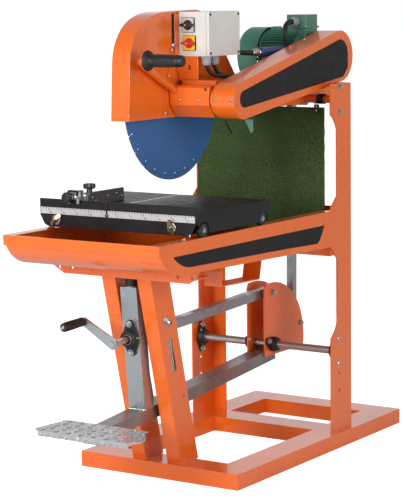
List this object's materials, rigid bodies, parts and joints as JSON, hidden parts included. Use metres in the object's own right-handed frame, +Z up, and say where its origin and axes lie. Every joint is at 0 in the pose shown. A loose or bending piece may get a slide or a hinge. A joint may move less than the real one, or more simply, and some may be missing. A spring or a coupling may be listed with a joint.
{
  "type": "masonry saw",
  "caption": "Floor-standing masonry saw with a tilting blade head, foot pedal linkage, rolling cutting table over a water tray, and a splash curtain behind the blade.",
  "frame": {"origin": "on the floor, under the middle of the base frame's centre cross bar, midway between the two columns", "axes": "+X to the operator's right, +Y away from the operator, +Z up"},
  "size_m": [0.59, 1.4204, 1.436],
  "materials": {
    "orange_paint": "gloss",
    "black_paint": "satin",
    "galvanised_steel": "galvanised",
    "bright_steel": "ground",
    "cast_housing": "painted casting",
    "black_rubber": "matte",
    "blade_blue": "satin",
    "motor_green": "satin",
    "box_grey": "matte",
    "black_plastic": "semi-gloss",
    "red_plastic": "semi-gloss",
    "brass": "plain",
    "green_matting": "short synthetic grass"
  },
  "bodies": {
    "frame": {"base_frame": "orange_paint", "column_left": "orange_paint", "column_right": "orange_paint", "cross_tube": "orange_paint", "leg_left": "orange_paint", "leg_right": "orange_paint", "front_cross_angle": "orange_paint", "rear_cross_bar": "orange_paint", "tray": "orange_paint", "shaft_bearing_left": "cast_housing", "shaft_bearing_right": "cast_housing"},
    "lever": {"pedal_shaft": "bright_steel", "pivot_plate_left": "orange_paint", "pivot_plate_right": "orange_paint", "rod_pin": "bright_steel", "lever_tube": "galvanised_steel", "upright_tube": "galvanised_steel", "stop_buffer": "black_rubber", "crank_bearing": "cast_housing", "pedal_plate": "galvanised_steel", "spindle_tube": "galvanised_steel"},
    "crank": {"crank_spindle": "bright_steel", "crank_arm": "galvanised_steel"},
    "crank_handle": {"crank_grip": "black_rubber"},
    "rod": {"lift_rod": "galvanised_steel"},
    "head": {"head_arm": "orange_paint", "rod_top_pin": "bright_steel", "arbor_cover": "orange_paint", "belt_guard": "orange_paint", "blade_guard_front": "orange_paint", "blade_guard_rear": "orange_paint", "handle_tube": "orange_paint", "handle_grip": "black_rubber", "box_bracket": "orange_paint", "control_box": "box_grey", "control_box_lid": "box_grey", "motor_body": "motor_green", "fan_cowl": "motor_green", "terminal_box": "motor_green", "drive_belt": "black_rubber"},
    "arbor": {"arbor_shaft": "bright_steel", "arbor_pulley": "bright_steel", "blade_flange": "bright_steel", "blade": "blade_blue"},
    "rotor": {"motor_pulley": "bright_steel"},
    "selector_switch": {"selector_knob": "black_plastic"},
    "main_switch": {"main_switch_knob": "red_plastic"},
    "sliding_table": {"table": "black_paint"},
    "wheel_fl": {"wheel_front_left": "black_paint"},
    "wheel_fr": {"wheel_front_right": "black_paint"},
    "wheel_rl": {"wheel_rear_left": "black_paint"},
    "wheel_rr": {"wheel_rear_right": "black_paint"},
    "wing_screw_left": {"table_wing_screw_left": "brass"},
    "wing_screw_right": {"table_wing_screw_right": "brass"},
    "fence": {"fence_bracket": "galvanised_steel", "fence_plate": "galvanised_steel"},
    "fence_clamp": {"fence_clamp_knob": "black_plastic"},
    "fence_lock": {"fence_lock_knob": "black_plastic"},
    "curtain": {"splash_curtain": "green_matting"},
    "leg_bolt": {"leg_wing_bolt": "bright_steel"}
  },
  "joints": [
    {"name": "head_tilt", "type": "hinge", "parent": "frame", "child": "head", "pos_m": [0, -0.005, 1.142], "axis": [1, 0, 0], "range_deg": [0, 7.5]},
    {"name": "pedal_swing", "type": "hinge", "parent": "frame", "child": "lever", "pos_m": [0, -0.015, 0.317], "axis": [1, 0, 0], "range_deg": [0, 7.5]},
    {"name": "rod_swing", "type": "hinge", "parent": "lever", "child": "rod", "pos_m": [-0.018, 0.172, 0.36], "axis": [1, 0, 0], "range_deg": [-7.5, 0]},
    {"name": "crank_turn", "type": "hinge", "parent": "lever", "child": "crank", "pos_m": [-0.018, -0.86483, 0.45128], "axis": [0, 0.999, 0.0458], "continuous": true},
    {"name": "crank_grip_turn", "type": "hinge", "parent": "crank", "child": "crank_handle", "pos_m": [-0.12452, -0.91959, 0.51034], "axis": [0, 0.999, 0.0458], "continuous": true},
    {"name": "blade_spin", "type": "hinge", "parent": "head", "child": "arbor", "pos_m": [-0.031, -0.519, 1.165], "axis": [1, 0, 0], "continuous": true},
    {"name": "motor_spin", "type": "hinge", "parent": "head", "child": "rotor", "pos_m": [0.19, 0.056, 1.278], "axis": [1, 0, 0], "continuous": true},
    {"name": "selector_turn", "type": "hinge", "parent": "head", "child": "selector_switch", "pos_m": [0.041, -0.5253, 1.391], "axis": [0, -1, 0], "range_deg": [0, 60]},
    {"name": "main_switch_turn", "type": "hinge", "parent": "head", "child": "main_switch", "pos_m": [0.045, -0.5253, 1.336], "axis": [0, -1, 0], "range_deg": [0, 90]},
    {"name": "table_slide", "type": "slide", "parent": "frame", "child": "sliding_table", "axis": [0, 1, 0], "range_m": [-0.16, 0.12]},
    {"name": "wheel_front_left_roll", "type": "hinge", "parent": "sliding_table", "child": "wheel_fl", "pos_m": [-0.276, -0.819, 0.8073], "axis": [1, 0, 0], "continuous": true},
    {"name": "wheel_front_right_roll", "type": "hinge", "parent": "sliding_table", "child": "wheel_fr", "pos_m": [0.276, -0.819, 0.8073], "axis": [1, 0, 0], "continuous": true},
    {"name": "wheel_rear_left_roll", "type": "hinge", "parent": "sliding_table", "child": "wheel_rl", "pos_m": [-0.276, -0.497, 0.8073], "axis": [1, 0, 0], "continuous": true},
    {"name": "wheel_rear_right_roll", "type": "hinge", "parent": "sliding_table", "child": "wheel_rr", "pos_m": [0.276, -0.497, 0.8073], "axis": [1, 0, 0], "continuous": true},
    {"name": "wing_screw_left_turn", "type": "hinge", "parent": "sliding_table", "child": "wing_screw_left", "pos_m": [-0.222, -0.8623, 0.815], "axis": [0, -1, 0], "range_deg": [-180, 180]},
    {"name": "wing_screw_right_turn", "type": "hinge", "parent": "sliding_table", "child": "wing_screw_right", "pos_m": [0.2, -0.8623, 0.815], "axis": [0, -1, 0], "range_deg": [-180, 180]},
    {"name": "fence_slide", "type": "slide", "parent": "sliding_table", "child": "fence", "axis": [1, 0, 0], "range_m": [-0.09, 0.06]},
    {"name": "fence_clamp_turn", "type": "hinge", "parent": "fence", "child": "fence_clamp", "pos_m": [-0.163, -0.8714, 0.887], "axis": [0, -1, 0], "range_deg": [-180, 180]},
    {"name": "fence_lock_turn", "type": "hinge", "parent": "fence", "child": "fence_lock", "pos_m": [-0.118, -0.832, 0.9], "axis": [0, 0, 1], "range_deg": [-180, 180]},
    {"name": "curtain_swing", "type": "hinge", "parent": "frame", "child": "curtain", "pos_m": [-0.017, -0.032, 1.112], "axis": [1, 0, 0], "range_deg": [-5, 8]},
    {"name": "leg_bolt_turn", "type": "hinge", "parent": "frame", "child": "leg_bolt", "pos_m": [0.0733, -0.711, 0.503], "axis": [1, 0, 0], "range_deg": [-180, 180]}
  ],
  "couplings": [
    {"joint": "pedal_swing", "follows": "head_tilt", "ratio": 1},
    {"joint": "rod_swing", "follows": "head_tilt", "ratio": -1},
    {"joint": "motor_spin", "follows": "blade_spin", "ratio": 0.67742},
    {"joint": "wheel_front_left_roll", "follows": "table_slide", "rad_per_m": -47.619},
    {"joint": "wheel_front_right_roll", "follows": "table_slide", "rad_per_m": -47.619},
    {"joint": "wheel_rear_left_roll", "follows": "table_slide", "rad_per_m": -47.619},
    {"joint": "wheel_rear_right_roll", "follows": "table_slide", "rad_per_m": -47.619}
  ]
}
